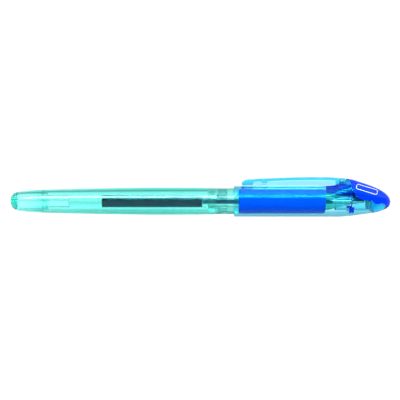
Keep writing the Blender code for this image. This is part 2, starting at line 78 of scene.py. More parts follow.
# Places along the pen, from the frame
TAIL_END, _ = span("tail_plug")
BARREL_REAR, BARREL_FRONT = span("barrel")
SECTION_REAR, SECTION_FRONT = span("front_section")
GRIP_REAR, GRIP_FRONT = span("rubber_grip")
NOSE_REAR, NOSE_FRONT = span("nose_cone")
TUBE_REAR, TUBE_FRONT = span("reservoir_tube")
GREASE_REAR, GREASE_FRONT = span("grease_follower")
INK_REAR, INK_FRONT = span("ink_column")
HOLDER_REAR, HOLDER_FRONT = span("tip_holder")
SHANK_REAR, RIM_FRONT = span("tip_housing")
CAP_LIP, _ = span("cap_shell")
_, CROWN_END = span("crown_insert")
INNER_MOUTH, INNER_END = span("inner_cap")
SEAL_REAR, SEAL_FRONT = span("tip_seal")
CLIP_FREE_END, CLIP_ROOT = span("pocket_clip")

# Radii, from the frame
BARREL_RADIUS = radius_of("barrel")
TUBE_RADIUS = radius_of("reservoir_tube")
CAP_RADIUS = radius_of("cap_shell")
GRIP_RADIUS = radius_of("rubber_grip")
COLLAR_RADIUS = radius_of("front_section")
CLIP_HALF_WIDTH = radius_of("pocket_clip")

# The gap that touching pieces keep between them
GAP = 0.05

# Wall and step sizes
BORE_TAIL_RADIUS = 3.6
BORE_FRONT_RADIUS = 4.05
THREAD_PITCH = 0.6
THREAD_CORE_RADIUS = 3.95
THREAD_CREST_RADIUS = 4.27
GROOVE_BOTTOM_RADIUS = 4.41
RIDGE_HALF_WIDTHS = (0.21, 0.06)
GROOVE_HALF_WIDTHS = (0.26, 0.12)
COLLAR_GROOVES = 7
CORE_RADIUS = 3.9
SEAT_RADIUS = 5.04
NOSE_TAIL_RADIUS = 2.7
NECK_RADIUS = 1.6
NECK_BORE_RADIUS = 1.75
NECK_INK_RADIUS = 0.95
TUBE_BORE_RADIUS = 2.1
INK_OVERLAP = 0.01
TIP_RADIUS = 1.15
BALL_RADIUS = 0.35
BALL_CENTRE = span("writing_ball")[1] - BALL_RADIUS
CAP_BORE_RADIUS = 5.15
CAP_BORE_END = 52.9
PAST_CAP_SIDE = 8
INNER_CAP_RADIUS = 3.5
INNER_BORE_RADIUS = 3.0
CLIP_BOTTOM = 6.24


# ---------------------------------------------------------------- mesh making

NO_LENGTH = 1e-6


def finish_mesh(name, shape, sharp_degrees=32):
    """Make an object of a mesh in the making, shaded smooth up to an angle."""
    bmesh.ops.recalc_face_normals(shape, faces=shape.faces)
    mesh = bpy.data.meshes.new(name)
    shape.to_mesh(mesh)
    shape.free()
    mesh.shade_smooth()
    mesh.set_sharp_from_angle(angle=math.radians(sharp_degrees))
    piece = bpy.data.objects.new(name, mesh)
    bpy.context.scene.collection.objects.link(piece)
    return piece


def at(x, y, height):
    """A point of the frame from a place along the pen, across it and above its axis."""
    return Vector((x, y, height + AXIS_HEIGHT)) * MM


def around(x, radius, turn):
    """A point on a circle about the axis; it starts across the pen and turns up."""
    return at(x, radius * math.cos(turn), radius * math.sin(turn))


def round_ring(x, radius, sides=FINE_SIDES):
    return [around(x, radius, 2 * math.pi * k / sides) for k in range(sides)]


def smooth_line(points, step):
    """A smooth line through (x, value) points, which never overshoots them."""
    slopes = [(b[1] - a[1]) / (b[0] - a[0]) for a, b in zip(points, points[1:])]
    tangents = [slopes[0]]
    for before, after in zip(slopes, slopes[1:]):
        same_way = before * after > 0
        tangents.append(2 * before * after / (before + after) if same_way else 0.0)
    tangents.append(slopes[-1])
    line = []
    for (x0, v0), (x1, v1), t0, t1 in zip(points, points[1:], tangents, tangents[1:]):
        width = x1 - x0
        count = max(1, math.ceil(abs(width) / step))
        for i in range(count):
            t = i / count
            value = (1 + 2 * t) * (1 - t) ** 2 * v0 + t * (1 - t) ** 2 * width * t0
            value += t * t * (3 - 2 * t) * v1 + t * t * (t - 1) * width * t1
            line.append((x0 + width * t, value))
    return [*line, points[-1]]


def rounded(profile, radius, closed=True, sharpest=20, steps=3):
    """The profile with its corners rounded, as far as their neighbours leave room."""
    result = []
    count = len(profile)
    for i, point in enumerate(profile):
        here = Vector(point)
        before = Vector(profile[i - 1])
        after = Vector(profile[(i + 1) % count])
        at_end = not closed and i in (0, count - 1)
        if at_end or (here - before).length < NO_LENGTH or (after - here).length < NO_LENGTH:
            result.append(tuple(here))
            continue
        bend = (here - before).angle(after - here)
        if math.degrees(bend) < sharpest:
            result.append(tuple(here))
            continue
        room = 0.45 * min((here - before).length, (after - here).length)
        reach = min(radius, room)
        start = here + (before - here).normalized() * reach
        end = here + (after - here).normalized() * reach
        for k in range(steps + 1):
            t = k / steps
            result.append(tuple(start * (1 - t) ** 2 + here * 2 * t * (1 - t) + end * t * t))
    return result


def held(profile, closed, long_stretch=0.5, inset=0.06, least_bend=math.radians(4)):
    """The profile with a point close to each end of a long stretch that meets a bend.

    The extra points keep the stretch's smooth shading flat.
    """
    result = []
    count = len(profile)
    for i, point in enumerate(profile):
        result.append(point)
        if not closed and i == count - 1:
            continue
        here, after = Vector(point), Vector(profile[(i + 1) % count])
        before, beyond = Vector(profile[i - 1]), Vector(profile[(i + 2) % count])
        along_line = after - here
        if along_line.length < long_stretch:
            continue
        step = along_line.normalized() * inset
        if (here - before).length > NO_LENGTH and (here - before).angle(along_line) > least_bend:
            result.append(tuple(here + step))
        if (beyond - after).length > NO_LENGTH and along_line.angle(beyond - after) > least_bend:
            result.append(tuple(after - step))
    return result


def lathe(name, profile, edge=0.08, sides=FINE_SIDES):
    """Turn a profile of (x, radius) points: a full piece where it starts at radius 0, or else a ring."""
    solid = profile[0][1] == 0
    profile = held(rounded(profile, edge, closed=not solid), not solid)
    shape = bmesh.new()
    rows = []
    for x, radius in profile:
        if radius < NO_LENGTH:
            rows.append([shape.verts.new(at(x, 0, 0))])
        else:
            rows.append([shape.verts.new(point) for point in round_ring(x, radius, sides)])
    pairs = list(zip(rows, rows[1:]))
    if not solid:
        pairs.append((rows[-1], rows[0]))
    for near, far in pairs:
        for k in range(sides):
            j = (k + 1) % sides
            if len(near) == 1:
                shape.faces.new((near[0], far[j], far[k]))
            elif len(far) == 1:
                shape.faces.new((near[k], near[j], far[0]))
            else:
                shape.faces.new((near[k], near[j], far[j], far[k]))
    return finish_mesh(name, shape)


def loft(name, rings, loop=False, sharp_degrees=32):
    """Join rings of frame points; close the ends, or join the last ring to the first."""
    shape = bmesh.new()
    rows = [[shape.verts.new(point) for point in ring] for ring in rings]
    pairs = list(zip(rows, rows[1:]))
    if loop:
        pairs.append((rows[-1], rows[0]))
    for near, far in pairs:
        for k in range(len(near)):
            j = (k + 1) % len(near)
            shape.faces.new((near[k], near[j], far[j], far[k]))
    if not loop:
        shape.faces.new(rows[0][::-1])
        shape.faces.new(rows[-1])
    return finish_mesh(name, shape, sharp_degrees)


def slab(name, outline, half_width):
    """A flat (x, height) outline, as thick as two half widths across the pen."""
    rings = [[at(x, side * half_width, height) for x, height in outline] for side in (-1, 1)]
    return loft(name, rings)


def block(name, low, high):
    """A box between two (x, across, height) corners."""
    outline = [(low[0], low[2]), (high[0], low[2]), (high[0], high[2]), (low[0], high[2])]
    piece = slab(name, outline, (high[1] - low[1]) / 2)
    middle = (high[1] + low[1]) / 2
    piece.data.transform(Matrix.Translation(Vector((0, middle, 0)) * MM))
    return piece


def combine(piece, tool, operation, sharp_degrees=32):
    """Cut, join or intersect a piece with a tool, and keep only the result."""
    step = piece.modifiers.new("combine", "BOOLEAN")
    step.operation = operation
    step.solver = "EXACT"
    step.object = tool
    settle(piece, sharp_degrees)
    bpy.data.objects.remove(tool)
    return piece


def settle(piece, sharp_degrees=32):
    """Make a piece's modifiers part of its mesh."""
    bpy.context.view_layer.update()
    graph = bpy.context.evaluated_depsgraph_get()
    mesh = bpy.data.meshes.new_from_object(piece.evaluated_get(graph))
    mesh.name = piece.name
    piece.modifiers.clear()
    piece.data = mesh
    mesh.shade_smooth()
    mesh.set_sharp_from_angle(angle=math.radians(sharp_degrees))
    return piece


def soften(piece, width, segments=3, angle=35):
    """Round a piece's sharp edges."""
    bevel = piece.modifiers.new("edges", "BEVEL")
    bevel.width = width * MM
    bevel.segments = segments
    bevel.limit_method = "ANGLE"
    bevel.angle_limit = math.radians(angle)
    bevel.harden_normals = False
    return settle(piece)


def helix(name, rear, front, foot, crest, half_widths, sides=FINE_SIDES):
    """A right-hand ridge of trapezoid section at the thread's pitch, from its foot to its crest radius."""
    foot_half, crest_half = half_widths
    steps = round((front - rear) / THREAD_PITCH * sides)
    start = -math.pi / 2
    rings = []
    for i in range(steps + 1):
        turn = start + 2 * math.pi * i / sides
        x = rear + THREAD_PITCH * i / sides
        corners = (
            (x - foot_half, foot),
            (x + foot_half, foot),
            (x + crest_half, crest),
            (x - crest_half, crest),
        )
        rings.append([around(cx, r, turn) for cx, r in corners])
    return loft(name, rings)


# ---------------------------------------------------------------- materials


def new_material(name):
    material = bpy.data.materials.new(name)
    material.use_nodes = True
    nodes = material.node_tree.nodes
    return material, nodes, material.node_tree.links, nodes["Principled BSDF"]


def mottle(nodes, links, scale, detail=3.0, stretch=(1, 1, 1)):
    """Noise fixed to the piece, and its value socket."""
    place = nodes.new("ShaderNodeTexCoord")
    mapping = nodes.new("ShaderNodeMapping")
    mapping.inputs["Scale"].default_value = stretch
    noise = nodes.new("ShaderNodeTexNoise")
    noise.inputs["Scale"].default_value = scale
    noise.inputs["Detail"].default_value = detail
    links.new(place.outputs["Object"], mapping.inputs["Vector"])
    links.new(mapping.outputs["Vector"], noise.inputs["Vector"])
    return noise.outputs["Fac"]


def spread(nodes, links, value, low, high):
    """A noise value, stretched to run from low to high."""
    ranged = nodes.new("ShaderNodeMapRange")
    ranged.inputs["From Min"].default_value = 0.3
    ranged.inputs["From Max"].default_value = 0.7
    ranged.inputs["To Min"].default_value = low
    ranged.inputs["To Max"].default_value = high
    links.new(value, ranged.inputs["Value"])
    return ranged.outputs["Result"]


def two_tone(nodes, links, value, first, second):
    mix = nodes.new("ShaderNodeMix")
    mix.data_type = "RGBA"
    mix.inputs["A"].default_value = (*first, 1)
    mix.inputs["B"].default_value = (*second, 1)
    links.new(value, mix.inputs["Factor"])
    return mix.outputs["Result"]


def bumpy(nodes, links, value, shader, distance, strength):
    bump = nodes.new("ShaderNodeBump")
    bump.inputs["Strength"].default_value = strength
    bump.inputs["Distance"].default_value = distance * MM
    links.new(value, bump.inputs["Height"])
    links.new(bump.outputs["Normal"], shader.inputs["Normal"])


def clear_plastic(name, tints, loss, roughness=(0.0, 0.03), ior=1.49, shine=(0.35, 0.6, 0.65)):
    """Moulded clear plastic.

    loss is how strongly a millimetre of it takes away red, green and blue, and shine tints its reflections.
    """
    material, nodes, links, shader = new_material(name)
    flow = mottle(nodes, links, 130, 2.0, (0.3, 1, 1))
    links.new(two_tone(nodes, links, flow, *tints), shader.inputs["Base Color"])
    links.new(spread(nodes, links, flow, *roughness), shader.inputs["Roughness"])
    bumpy(nodes, links, mottle(nodes, links, 260, 1.0, (0.35, 1, 1)), shader, 0.004, 0.01)
    shader.inputs["IOR"].default_value = ior
    shader.inputs["Specular Tint"].default_value = (*shine, 1)
    shader.inputs["Transmission Weight"].default_value = 1.0
    volume = nodes.new("ShaderNodeVolumeAbsorption")
    most = max(loss)
    volume.inputs["Color"].default_value = (*(1 - part / most for part in loss), 1)
    volume.inputs["Density"].default_value = most / MM
    output = nodes["Material Output"]
    links.new(volume.outputs["Volume"], output.inputs["Volume"])
    return material


def solid_plastic(name, tones, roughness, grain=(600, 0.01, 0.15), shine=(1.0, 1.0, 1.0)):
    """Opaque plastic or rubber; grain is its bumps' noise scale, height in millimetres and strength."""
    material, nodes, links, shader = new_material(name)
    scale, distance, strength = grain
    patches = mottle(nodes, links, 90, 4.0)
    links.new(two_tone(nodes, links, patches, *tones), shader.inputs["Base Color"])
    links.new(spread(nodes, links, patches, *roughness), shader.inputs["Roughness"])
    bumpy(nodes, links, mottle(nodes, links, scale, 2.0), shader, distance, strength)
    shader.inputs["Specular Tint"].default_value = (*shine, 1)
    return material


def drawn_steel(name):
    material, nodes, links, shader = new_material(name)
    turning = mottle(nodes, links, 500, 4.0, (12, 1, 1))
    tone = two_tone(nodes, links, turning, (0.5, 0.5, 0.49), (0.72, 0.71, 0.69))
    links.new(tone, shader.inputs["Base Color"])
    links.new(spread(nodes, links, turning, 0.16, 0.34), shader.inputs["Roughness"])
    bumpy(nodes, links, turning, shader, 0.004, 0.2)
    shader.inputs["Metallic"].default_value = 1.0
    return material


# What the reflections keep of red, green and blue, because the photo's are coloured and not white
CAP_SHINE = (0.0, 0.3, 0.4)
REFILL_SHINE = (0.05, 0.25, 0.3)
BLUE_SHINE = (0.0, 0.12, 0.4)

BODY_TINTS = ((0.95, 1.0, 0.99), (0.99, 1.0, 1.0))
LOOKS = {
    "body": clear_plastic("body_clear", BODY_TINTS, loss=(0.62, 0.065, 0.1)),
    "section": clear_plastic("section_clear", BODY_TINTS, loss=(0.2, 0.035, 0.045)),
    "cap": clear_plastic(
        "cap_clear",
        tints=((0.95, 1.0, 1.0), (0.99, 1.0, 1.0)),
        loss=(0.62, 0.12, 0.03),
        shine=CAP_SHINE,
    ),
    "refill": clear_plastic(
        "refill_clear",
        tints=((0.97, 0.99, 0.99), (1.0, 1.0, 1.0)),
        loss=(0.05, 0.015, 0.02),
        roughness=(0.02, 0.09),
        ior=1.35,
        shine=REFILL_SHINE,
    ),
    "grease": clear_plastic(
        "grease_clear",
        tints=((0.97, 1.0, 0.99), (1.0, 1.0, 1.0)),
        loss=(0.05, 0.01, 0.02),
        roughness=(0.02, 0.1),
        ior=1.4,
        shine=REFILL_SHINE,
    ),
    "ink": clear_plastic(
        "ink_dark",
        tints=((0.8, 0.9, 0.95), (0.9, 0.95, 1.0)),
        loss=(5.0, 1.3, 0.9),
        roughness=(0.02, 0.08),
        ior=1.36,
        shine=REFILL_SHINE,
    ),
    "rubber": solid_plastic(
        "grip_rubber",
        tones=((0.0, 0.052, 0.66), (0.0, 0.064, 0.74)),
        roughness=(0.35, 0.5),
        grain=(900, 0.02, 0.25),
        shine=BLUE_SHINE,
    ),
    "crown": solid_plastic(
        "crown_blue",
        tones=((0.0, 0.012, 0.44), (0.0, 0.016, 0.5)),
        roughness=(0.14, 0.26),
        grain=(420, 0.01, 0.1),
        shine=BLUE_SHINE,
    ),
    "seal": solid_plastic("seal_grey", tones=((0.34, 0.5, 0.6), (0.42, 0.58, 0.67)), roughness=(0.4, 0.6)),
    "print": solid_plastic(
        "white_print",
        tones=((0.3, 0.35, 0.42), (0.36, 0.41, 0.48)),
        roughness=(0.4, 0.55),
    ),
    "steel": drawn_steel("drawn_steel"),
}


def dress(piece, look, body, slot, *nodes):
    """Give a piece its material, the body that it rides on and the nodes that it stands for."""
    piece.data.materials.clear()
    piece.data.materials.append(LOOKS[look])
    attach(piece, body)
    if nodes:
        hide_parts(*nodes)
    return piece


# ---------------------------------------------------------------- barrel and tail


def make_barrel():
    outer = smooth_line(
        [
            (BARREL_FRONT, 5.24),
            (-3.0, BARREL_RADIUS - 0.03),
            (-17.0, BARREL_RADIUS),
            (-28.0, BARREL_RADIUS - 0.1),
            (-40.0, 5.12),
            (-51.0, 4.9),
            (BARREL_REAR, 4.62),
        ],
        2.0,
    )
    inner = smooth_line(
        [(BARREL_REAR, BORE_TAIL_RADIUS), (-40.0, 3.85), (-17.0, 4.0), (BARREL_FRONT, BORE_FRONT_RADIUS)],
        6.0,
    )
    barrel = lathe("barrel_shell", [*outer, *inner], 0.12)
    groove = helix(
        "groove",
        SECTION_REAR - 0.1,
        BARREL_FRONT + 0.5,
        THREAD_CORE_RADIUS - 0.1,
        GROOVE_BOTTOM_RADIUS,
        GROOVE_HALF_WIDTHS,
        MIDDLE_SIDES,
    )
    combine(barrel, groove, "DIFFERENCE")
    dress(barrel, "body", "barrel", "body_clear", "barrel")


def make_tail_plug():
    spigot_front = BARREL_REAR + 1.8
    spigot = BORE_TAIL_RADIUS - GAP
    joint = BARREL_REAR - GAP
    dome = smooth_line(
        [(joint, 4.59), (-69.0, 4.13), (-71.8, 3.83), (-73.3, 3.38), (-74.3, 2.75), (-74.8, 2.2)], 0.5
    )
    cavity = smooth_line(
        [(-72.7, 2.1), (-72.5, 2.55), (-72.0, 2.85), (-71.0, 3.02), (-66.0, 3.18), (spigot_front, 2.95)], 0.4
    )
    vent_radius = 0.5
    cavity_end = cavity[0][0]
    profile = [
        (spigot_front, spigot - 0.1),
        (spigot_front - 0.2, spigot),
        (joint, spigot),
        *dome,
        (TAIL_END, 1.75),
        (TAIL_END, vent_radius),
        (cavity_end, vent_radius),
        *cavity,
    ]
    dress(lathe("tail_cup", profile, 0.15), "body", "barrel", "body_clear", "tail_plug")


# ---------------------------------------------------------------- grip section


def make_section():
    first_groove, groove_spacing, groove_half_width, groove_depth = 6.7, 0.6, 0.19, 0.22
    grooves = []
    for i in reversed(range(COLLAR_GROOVES)):
        middle = first_groove + groove_spacing * i
        grooves.append((middle + groove_half_width, COLLAR_RADIUS))
        grooves.append((middle, COLLAR_RADIUS - groove_depth))
        grooves.append((middle - groove_half_width, COLLAR_RADIUS))
    profile = [
        (SECTION_FRONT, CORE_RADIUS - 0.15),
        (SECTION_FRONT - 0.2, CORE_RADIUS),
        (GRIP_REAR - GAP, CORE_RADIUS),
        (GRIP_REAR - GAP, SEAT_RADIUS),
        (CAP_LIP - GAP, SEAT_RADIUS),
        (CAP_LIP - GAP, COLLAR_RADIUS),
        *grooves,
        (BARREL_FRONT + GAP, COLLAR_RADIUS),
        (BARREL_FRONT + GAP, THREAD_CORE_RADIUS),
        (SECTION_REAR + 0.2, THREAD_CORE_RADIUS),
        (SECTION_REAR, THREAD_CORE_RADIUS - 0.2),
        (SECTION_REAR, NECK_BORE_RADIUS),
        (NOSE_REAR - 2 * GAP, NECK_BORE_RADIUS),
        (NOSE_REAR - 2 * GAP, NOSE_TAIL_RADIUS + GAP),
        (SECTION_FRONT, NOSE_TAIL_RADIUS + GAP),
    ]
    section = lathe("grip_core", profile, 0.06)
    ridge = helix(
        "ridge",
        SECTION_REAR + 0.5,
        BARREL_FRONT - 0.4,
        THREAD_CORE_RADIUS - 0.2,
        THREAD_CREST_RADIUS,
        RIDGE_HALF_WIDTHS,
        MIDDLE_SIDES,
    )
    combine(section, ridge, "UNION")
    dress(section, "section", "grip_section", "body_clear", "front_section")


def make_grip():
    inner = CORE_RADIUS + GAP
    nose = 0.7
    turns = [math.radians(degrees) for degrees in (80, 60, 40, 20, 0)]
    front_round = [
        (GRIP_FRONT - nose + nose * math.sin(turn), GRIP_RADIUS - nose + nose * math.cos(turn))
        for turn in turns
    ]
    profile = [
        (GRIP_FRONT, inner + 0.2),
        *front_round,
        (GRIP_REAR + 0.45, GRIP_RADIUS),
        (GRIP_REAR, GRIP_RADIUS - 0.25),
        (GRIP_REAR, inner),
        (GRIP_FRONT, inner),
    ]
    dress(lathe("grip_sleeve", profile, 0.1), "rubber", "grip_section", "grip_rubber", "rubber_grip")


def make_nose():
    cone = smooth_line(
        [
            (NOSE_FRONT, 1.42),
            (58.4, 1.62),
            (56.6, 1.98),
            (54.5, 2.38),
            (52.8, 2.78),
            (51.2, 3.22),
            (50.0, 3.46),
            (49.2, 3.58),
        ],
        0.3,
    )
    profile = [
        *cone,
        (49.15, NOSE_TAIL_RADIUS),
        (NOSE_REAR, NOSE_TAIL_RADIUS),
        (NOSE_REAR, NECK_BORE_RADIUS),
        (HOLDER_FRONT + GAP, NECK_BORE_RADIUS),
        (HOLDER_FRONT + GAP, TIP_RADIUS + 2 * GAP),
        (NOSE_FRONT, TIP_RADIUS + 2 * GAP),
    ]
    dress(lathe("nose_shell", profile, 0.08), "body", "grip_section", "body_clear", "nose_cone")


# ---------------------------------------------------------------- refill


def make_refill():
    """The refill; its ink and grease overlap the tube's bore a little, so that they look wetted."""
    tube = [
        (TUBE_FRONT, TUBE_RADIUS),
        (TUBE_REAR, TUBE_RADIUS),
        (TUBE_REAR, TUBE_BORE_RADIUS),
        (TUBE_FRONT, TUBE_BORE_RADIUS),
    ]
    dress(lathe("refill_tube", tube, 0.1), "refill", "refill", "refill_plastic", "reservoir_tube")
    wet = TUBE_BORE_RADIUS + INK_OVERLAP
    grease = [
        (GREASE_FRONT, 0),
        (GREASE_FRONT, wet),
        (GREASE_REAR, wet),
        (GREASE_REAR + 0.2, wet * 0.8),
        (GREASE_REAR + 0.35, wet * 0.4),
        (GREASE_REAR + 0.4, 0),
    ]
    dress(lathe("grease_plug", grease, 0.15, MIDDLE_SIDES), "grease", "follower", "grease", "grease_follower")
    ink = [(INK_FRONT, 0), (INK_FRONT, wet), (INK_REAR, wet), (INK_REAR, 0)]
    ink_piece = lathe("ink_fill", ink, 0.1)
    dress(ink_piece, "ink", "refill", "ink", "ink_column")
    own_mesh(ink_piece)
    neck_bore = NECK_INK_RADIUS + 0.03
    spigot = TUBE_BORE_RADIUS - 0.04
    flange_rear = TUBE_FRONT + GAP
    flange_front = SECTION_REAR - GAP
    holder = [
        (HOLDER_FRONT, NECK_RADIUS - 0.15),
        (HOLDER_FRONT - 0.3, NECK_RADIUS),
        (flange_front, NECK_RADIUS),
        (flange_front, TUBE_RADIUS),
        (flange_rear, TUBE_RADIUS),
        (flange_rear, spigot),
        (HOLDER_REAR, spigot),
        (HOLDER_REAR, neck_bore),
        (HOLDER_FRONT, neck_bore),
    ]
    dress(lathe("neck_tube", holder, 0.06), "refill", "refill", "refill_plastic", "tip_holder")
    feed_front = SHANK_REAR - 2 * GAP
    feed_radius = neck_bore - 0.008
    feed = [(feed_front, 0), (feed_front, feed_radius), (HOLDER_REAR, feed_radius), (HOLDER_REAR, 0)]
    dress(lathe("neck_ink", feed, 0.05, MIDDLE_SIDES), "ink", "refill", "ink", "feed_ink")


def make_point():
    socket_radius = BALL_RADIUS + GAP
    socket = [
        (BALL_CENTRE + offset, math.sqrt(socket_radius**2 - offset * offset))
        for offset in (-0.34, -0.27, -0.18, -0.08, 0.0, 0.1)
    ]
    shank_radius = TIP_RADIUS - 0.01
    shoulder, feed_radius, throat_radius = 57.05, 0.5, 0.2
    taper = [(RIM_FRONT, 0.41), (64.1, 0.57), (63.0, 0.72), (61.4, 0.97), (60.2, shank_radius)]
    profile = [
        *smooth_line(taper, 0.3),
        (shoulder, shank_radius),
        (shoulder, NECK_INK_RADIUS),
        (SHANK_REAR, NECK_INK_RADIUS),
        (SHANK_REAR, feed_radius),
        (62.0, feed_radius),
        (62.4, throat_radius),
        *socket,
        (RIM_FRONT, 0.335),
    ]
    dress(lathe("steel_point", profile, 0.03, MIDDLE_SIDES), "steel", "refill", "steel", "tip_housing")
    half_turns = [math.pi * i / (BALL_SIDES / 2) for i in range(1, BALL_SIDES // 2)]
    ball = [(BALL_CENTRE + BALL_RADIUS * math.cos(turn), BALL_RADIUS * math.sin(turn)) for turn in half_turns]
    ball = [(BALL_CENTRE + BALL_RADIUS, 0), *ball, (BALL_CENTRE - BALL_RADIUS, 0)]
    dress(lathe("carbide_ball", ball, 0, BALL_SIDES), "steel", "ball", "steel", "writing_ball")


# ---------------------------------------------------------------- cap

# The nose's upper and lower lines and the crown's lower edge, as (x, height) points from the side
CAP_TOP_LINE = [
    (49.0, CAP_RADIUS),
    (52.0, 6.65),
    (55.5, 7.85),
    (58.7, 8.82),
    (63.0, 7.7),
    (67.0, 6.33),
    (70.5, 4.83),
    (73.0, 3.28),
    (74.3, 1.93),
    (74.8, 1.08),
    (CROWN_END, 0.3),
]
CAP_BOTTOM_LINE = [
    (49.0, -CAP_RADIUS),
    (54.0, -CAP_RADIUS + 0.01),
    (58.7, -5.88),
    (63.0, -5.33),
    (67.0, -4.83),
    (70.5, -4.18),
    (73.0, -3.2),
    (74.3, -2.3),
    (74.8, -1.6),
    (CROWN_END, -0.8),
]
CROWN_SEAM = [
    (58.7, 8.0),
    (59.1, 6.4),
    (59.8, 4.4),
    (60.8, 2.4),
    (62.2, 1.1),
    (64.0, 0.6),
    (67.3, 0.4),
    (68.2, -0.85),
    (69.3, -1.3),
    (71.2, -0.8),
    (72.6, -1.3),
    (73.6, -2.3),
]
TOP = smooth_line(CAP_TOP_LINE, 0.4)
BOTTOM = smooth_line(CAP_BOTTOM_LINE, 0.4)
SEAM = rounded(CROWN_SEAM, 0.8, closed=False, sharpest=4, steps=4)


def along(points, x):
    """The value of a line of (x, value) points at x."""
    for (x0, v0), (x1, v1) in zip(points, points[1:]):
        if x <= x1:
            return v0 + (v1 - v0) * (x - x0) / (x1 - x0)
    return points[-1][1]


def blend(low, high, share):
    """Go from low to high as the share goes from 0 to 1, with a gentle start and end."""
    t = min(max(share, 0), 1)
    return low + (high - low) * t * t * (3 - 2 * t)


def nose_section(x):
    """Half width, top, bottom, middle height and fullness of the nose at x.

    The middle leaves the axis over the last 3 mm. Fullness is the power of the upper half's superellipse:
    2 is an ellipse, and more is squarer.
    """
    share = max(0.0, (x - CAP_BORE_END) / (CROWN_END - CAP_BORE_END))
    half_width = CAP_RADIUS * math.sqrt(max(0.012, 1 - share**2.6))
    top, bottom = along(TOP, x), along(BOTTOM, x)
    middle = blend(0, (top + bottom) / 2, (x - 72) / 3)
    fullness = 2 + 0.4 * blend(0, 1, (x - 49) / 9) * blend(1, 0, (x - 62) / 12)
    return half_width, top, bottom, middle, fullness


def nose_ring(x):
    half_width, top, bottom, middle, fullness = nose_section(x)
    ring = []
    for k in range(FINE_SIDES):
        turn = 2 * math.pi * k / FINE_SIDES
        across, up = math.cos(turn), math.sin(turn)
        if up < 0:
            ring.append(at(x, half_width * across, middle + (middle - bottom) * up))
        else:
            y = half_width * math.copysign(abs(across) ** (2 / fullness), across)
            ring.append(at(x, y, middle + (top - middle) * up ** (2 / fullness)))
    return ring


def nose_rings(start):
    """Rings of the nose's outside from start to its end, closer together toward the end."""
    end_length, steps = 3, 14
    xs = [x for x, _ in TOP if start <= x < CROWN_END - end_length]
    xs += [CROWN_END - end_length * (1 - i / steps) ** 2 for i in range(steps + 1)]
    return [nose_ring(x) for x in xs]


def crown_outline(grow):
    """The crown's region from the side, above its seam, grown by a gap."""
    above, beyond = 12.0, 77.0
    seam = [(x - grow, height - grow) for x, height in SEAM]
    last_x, last_height = seam[-1]
    return [(seam[0][0], above), *seam, (beyond, last_height - (beyond - last_x)), (beyond, above)]


def make_cap_shell():
    lip = [(CAP_LIP, CAP_RADIUS - 0.22), (CAP_LIP + 0.06, CAP_RADIUS - 0.08), (CAP_LIP + 0.22, CAP_RADIUS)]
    outside = [round_ring(x, r) for x, r in lip]
    outside += [round_ring(x, CAP_RADIUS) for x in (CAP_LIP + 0.3, 20, 30, 40, 48.5)]
    outside += nose_rings(49.2)
    hollow = smooth_line([(67.5, 3.95), (63.0, 4.3), (58.7, 4.85), (CAP_BORE_END, CAP_BORE_RADIUS)], 0.8)
    inside = [round_ring(x, r) for x, r in hollow]
    inside += [round_ring(x, CAP_BORE_RADIUS) for x in (40, 25, CAP_LIP + 0.3, CAP_LIP + 0.2)]
    inside.append(round_ring(CAP_LIP + 0.02, CAP_BORE_RADIUS + 0.1))
    shell = loft("cap_body", inside + outside)
    combine(shell, slab("crown_room", crown_outline(GAP), PAST_CAP_SIDE), "DIFFERENCE")
    ridge_rear = CLIP_ROOT + 2 * GAP
    room_side = CLIP_HALF_WIDTH + 2 * GAP
    clip_room = block("clip_room", (45, -room_side, CAP_RADIUS - 0.01), (ridge_rear, room_side, 12))
    combine(shell, clip_room, "DIFFERENCE")
    ridge_front = 58.64
    ridge_side = [(ridge_rear, 5.4), (ridge_front, 5.4), (ridge_front, 8.8), (ridge_rear, 9.15)]
    combine(shell, soften(slab("ridge", ridge_side, CLIP_HALF_WIDTH), 0.4), "UNION")
    for low_side, high_side in ((2.8, 6.5), (-6.5, -2.8)):
        window = block("window", (58.2, low_side, -4.5), (60.2, high_side, -1.9))
        combine(shell, window, "DIFFERENCE")
    dress(shell, "cap", "cap", "cap_clear", "cap_shell")


def sector(name, rear, front, radii, degrees):
    """Part of a ring between two radii and two turns."""
    inner, outer = radii
    first, last = (math.radians(d) for d in degrees)
    steps = max(3, round((last - first) * FINE_SIDES / (2 * math.pi)))
    rings = []
    for i in range(steps + 1):
        turn = first + (last - first) * i / steps
        corners = ((rear, inner), (front, inner), (front, outer), (rear, outer))
        rings.append([around(x, r, turn) for x, r in corners])
    return loft(name, rings)


def make_crown():
    crown = loft("crown_cover", nose_rings(57))
    combine(crown, slab("region", crown_outline(0), PAST_CAP_SIDE), "INTERSECT")
    hollow_front, hollow_radius, past_rear = 67.6, 4.0, 50
    hollow = [(hollow_front, 0), (hollow_front, hollow_radius), (past_rear, hollow_radius), (past_rear, 0)]
    combine(crown, lathe("hollow", hollow, 0), "DIFFERENCE")
    tongue = sector("tongue", rear=49.4, front=61.5, radii=(3.72, 5.6), degrees=(58, 122))
    combine(crown, tongue, "UNION")
    legs = sector("legs", rear=59.1, front=59.4, radii=(4.05, 4.6), degrees=(-48, 228))
    combine(crown, legs, "UNION")
    for degrees in ((-49, -31), (211, 229)):
        lug = sector("lug", rear=58.3, front=60.1, radii=(4.3, 5.75), degrees=degrees)
        combine(crown, lug, "UNION")
    dress(crown, "crown", "cap", "crown_blue", "crown_insert")


